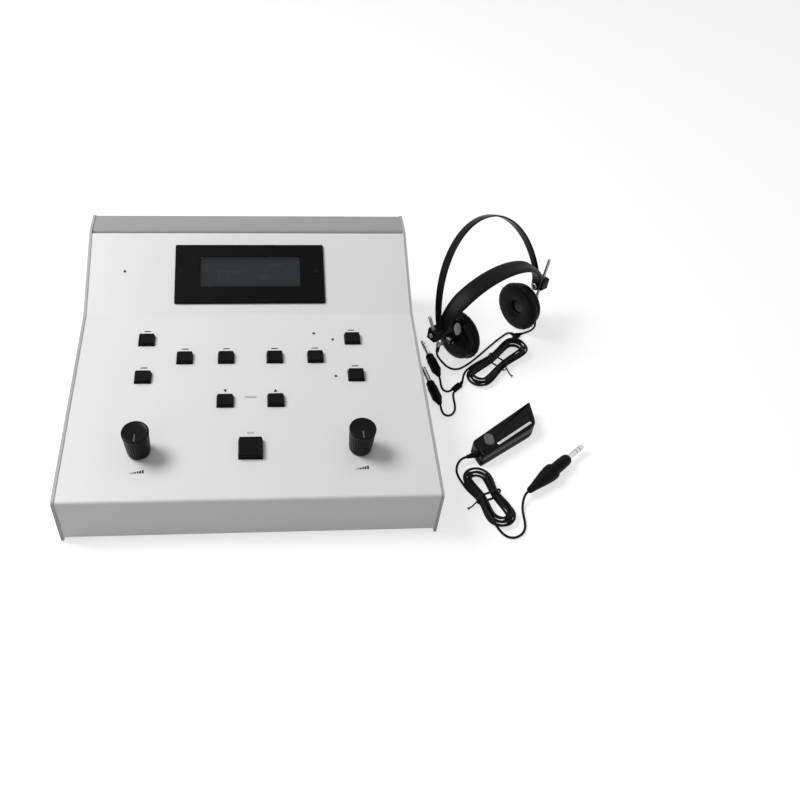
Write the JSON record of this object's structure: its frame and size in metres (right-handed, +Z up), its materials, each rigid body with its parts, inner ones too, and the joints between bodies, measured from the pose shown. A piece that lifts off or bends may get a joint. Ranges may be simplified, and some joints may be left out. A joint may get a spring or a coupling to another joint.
{
  "type": "diagnostic audiometer",
  "caption": "Desk audiometer with sloping keyed control panel, display and level knobs, with its double-band headset and hand-held patient response switch laid beside it.",
  "frame": {"origin": "centre of the console footprint, on the surface that its feet stand on", "axes": "+X to the right of the console, seen by its user; +Y to the rear of the console; +Z up"},
  "size_m": [0.594, 0.4145, 0.1691],
  "materials": {
    "cover_paint": "satin",
    "side_paint": "satin",
    "rear_paint": "satin",
    "bare_sheet": "satin",
    "fasteners": "satin",
    "foot_rubber": "matte",
    "bezel_plastic": "gloss",
    "window_tint": "gloss",
    "display_frame": "satin",
    "display_dark": "gloss",
    "key_plastic": "satin",
    "board_green": "satin",
    "pillar_brass": "satin",
    "knob_plastic": "satin",
    "shaft_steel": "satin",
    "light_lens": "gloss",
    "component_plastic": "satin",
    "core_iron": "matte",
    "fitting_plastic": "satin",
    "band_cover": "satin",
    "band_spring": "satin",
    "pivot_plastic": "satin",
    "rod_steel": "satin",
    "shell_plastic": "gloss",
    "cushion_vinyl": "satin",
    "driver_metal": "satin",
    "cord_rubber": "satin",
    "plug_plastic": "satin",
    "tie_plastic": "satin",
    "switch_plastic": "satin",
    "button_plastic": "satin"
  },
  "bodies": {
    "console": {"top_cover": "cover_paint", "left_side_plate": "side_paint", "right_side_plate": "side_paint", "rear_panel": "rear_paint", "base_plate": "bare_sheet", "case_blocks": "bare_sheet", "case_screws": "fasteners", "rubber_feet": "foot_rubber", "display_bezel": "bezel_plastic", "bezel_screws": "fasteners", "display_window": "window_tint", "display_module": "display_frame", "display_glass": "display_dark", "key_switches": "key_plastic", "key_board": "board_green", "board_pillars": "pillar_brass", "level_encoders": "shaft_steel", "indicator_lights": "light_lens", "main_board": "board_green", "board_components": "component_plastic", "mains_transformer": "core_iron", "mains_inlet": "fitting_plastic", "mains_switch_body": "fitting_plastic", "phone_sockets": "fitting_plastic", "wide_headband": "band_cover", "pivot_blocks": "pivot_plastic", "headset_cord": "cord_rubber", "headset_hank": "cord_rubber", "headset_plugs": "plug_plastic", "response_case": "switch_plastic", "response_cord": "cord_rubber", "response_hank": "cord_rubber", "response_plug": "plug_plastic", "cord_ties": "tie_plastic"},
    "left_upper_key": {"left_upper_key": "key_plastic"},
    "left_lower_key": {"left_lower_key": "key_plastic"},
    "ear_key": {"ear_key": "key_plastic"},
    "pulse_key": {"pulse_key": "key_plastic"},
    "store_key": {"store_key": "key_plastic"},
    "mode_key": {"mode_key": "key_plastic"},
    "right_upper_key": {"right_upper_key": "key_plastic"},
    "right_lower_key": {"right_lower_key": "key_plastic"},
    "down_key": {"down_key": "key_plastic"},
    "up_key": {"up_key": "key_plastic"},
    "tone_key": {"tone_key": "key_plastic"},
    "left_level": {"left_level_knob": "knob_plastic", "left_level_shaft": "shaft_steel"},
    "right_level": {"right_level_knob": "knob_plastic", "right_level_shaft": "shaft_steel"},
    "mains_rocker": {"mains_rocker": "fitting_plastic"},
    "thin_headband": {"thin_headband": "band_spring"},
    "left_slider_rod": {"left_slider_rod": "rod_steel"},
    "right_slider_rod": {"right_slider_rod": "rod_steel"},
    "left_earphone": {"left_earphone_shell": "shell_plastic", "left_ear_cushion": "cushion_vinyl", "left_earphone_driver": "driver_metal"},
    "right_earphone": {"right_earphone_shell": "shell_plastic", "right_ear_cushion": "cushion_vinyl", "right_earphone_driver": "driver_metal"},
    "response_button": {"response_button": "button_plastic"}
  },
  "joints": [
    {"name": "left_upper_key_press", "type": "slide", "parent": "console", "child": "left_upper_key", "axis": [0, 0.1014, -0.9948], "range_m": [0, 0.0012], "stiffness_N_per_m": 300, "springref_m": -0.002},
    {"name": "left_lower_key_press", "type": "slide", "parent": "console", "child": "left_lower_key", "axis": [0, 0.1014, -0.9948], "range_m": [0, 0.0012], "stiffness_N_per_m": 300, "springref_m": -0.002},
    {"name": "ear_key_press", "type": "slide", "parent": "console", "child": "ear_key", "axis": [0, 0.1014, -0.9948], "range_m": [0, 0.0012], "stiffness_N_per_m": 300, "springref_m": -0.002},
    {"name": "pulse_key_press", "type": "slide", "parent": "console", "child": "pulse_key", "axis": [0, 0.1014, -0.9948], "range_m": [0, 0.0012], "stiffness_N_per_m": 300, "springref_m": -0.002},
    {"name": "store_key_press", "type": "slide", "parent": "console", "child": "store_key", "axis": [0, 0.1014, -0.9948], "range_m": [0, 0.0012], "stiffness_N_per_m": 300, "springref_m": -0.002},
    {"name": "mode_key_press", "type": "slide", "parent": "console", "child": "mode_key", "axis": [0, 0.1014, -0.9948], "range_m": [0, 0.0012], "stiffness_N_per_m": 300, "springref_m": -0.002},
    {"name": "right_upper_key_press", "type": "slide", "parent": "console", "child": "right_upper_key", "axis": [0, 0.1014, -0.9948], "range_m": [0, 0.0012], "stiffness_N_per_m": 300, "springref_m": -0.002},
    {"name": "right_lower_key_press", "type": "slide", "parent": "console", "child": "right_lower_key", "axis": [0, 0.1014, -0.9948], "range_m": [0, 0.0012], "stiffness_N_per_m": 300, "springref_m": -0.002},
    {"name": "down_key_press", "type": "slide", "parent": "console", "child": "down_key", "axis": [0, 0.1014, -0.9948], "range_m": [0, 0.0012], "stiffness_N_per_m": 300, "springref_m": -0.002},
    {"name": "up_key_press", "type": "slide", "parent": "console", "child": "up_key", "axis": [0, 0.1014, -0.9948], "range_m": [0, 0.0012], "stiffness_N_per_m": 300, "springref_m": -0.002},
    {"name": "tone_key_press", "type": "slide", "parent": "console", "child": "tone_key", "axis": [0, 0.1014, -0.9948], "range_m": [0, 0.0012], "stiffness_N_per_m": 300, "springref_m": -0.002},
    {"name": "left_level_turn", "type": "hinge", "parent": "console", "child": "left_level", "pos_m": [-0.1145, -0.13831, 0.06819], "axis": [0, -0.1014, 0.9948], "continuous": true},
    {"name": "right_level_turn", "type": "hinge", "parent": "console", "child": "right_level", "pos_m": [0.1145, -0.13831, 0.06819], "axis": [0, -0.1014, 0.9948], "continuous": true},
    {"name": "mains_rocker_tip", "type": "hinge", "parent": "console", "child": "mains_rocker", "pos_m": [-0.084, 0.196, 0.06], "axis": [1, 0, 0], "range_deg": [0, 24]},
    {"name": "thin_band_swing", "type": "hinge", "parent": "console", "child": "thin_headband", "pos_m": [0.3075, 0.108, 0.057], "axis": [0.8425, 0.5388, 0], "range_deg": [-35, 20]},
    {"name": "left_rod_slide", "type": "slide", "parent": "console", "child": "left_slider_rod", "axis": [-0.3427, -0.2191, 0.9135], "range_m": [0, 0.011]},
    {"name": "right_rod_slide", "type": "slide", "parent": "console", "child": "right_slider_rod", "axis": [0.0734, 0.047, 0.9962], "range_m": [0, 0.011]},
    {"name": "left_earphone_tilt", "type": "hinge", "parent": "left_slider_rod", "child": "left_earphone", "pos_m": [0.25148, 0.07217, 0.033], "axis": [0.5388, -0.8425, 0], "range_deg": [-2, 8]},
    {"name": "right_earphone_tilt", "type": "hinge", "parent": "right_slider_rod", "child": "right_earphone", "pos_m": [0.37279, 0.14975, 0.033], "axis": [-0.5388, 0.8425, 0], "range_deg": [-2, 8]},
    {"name": "response_button_press", "type": "slide", "parent": "console", "child": "response_button", "axis": [0, 0, -1], "range_m": [0, 0.001], "stiffness_N_per_m": 400, "springref_m": -0.002}
  ]
}
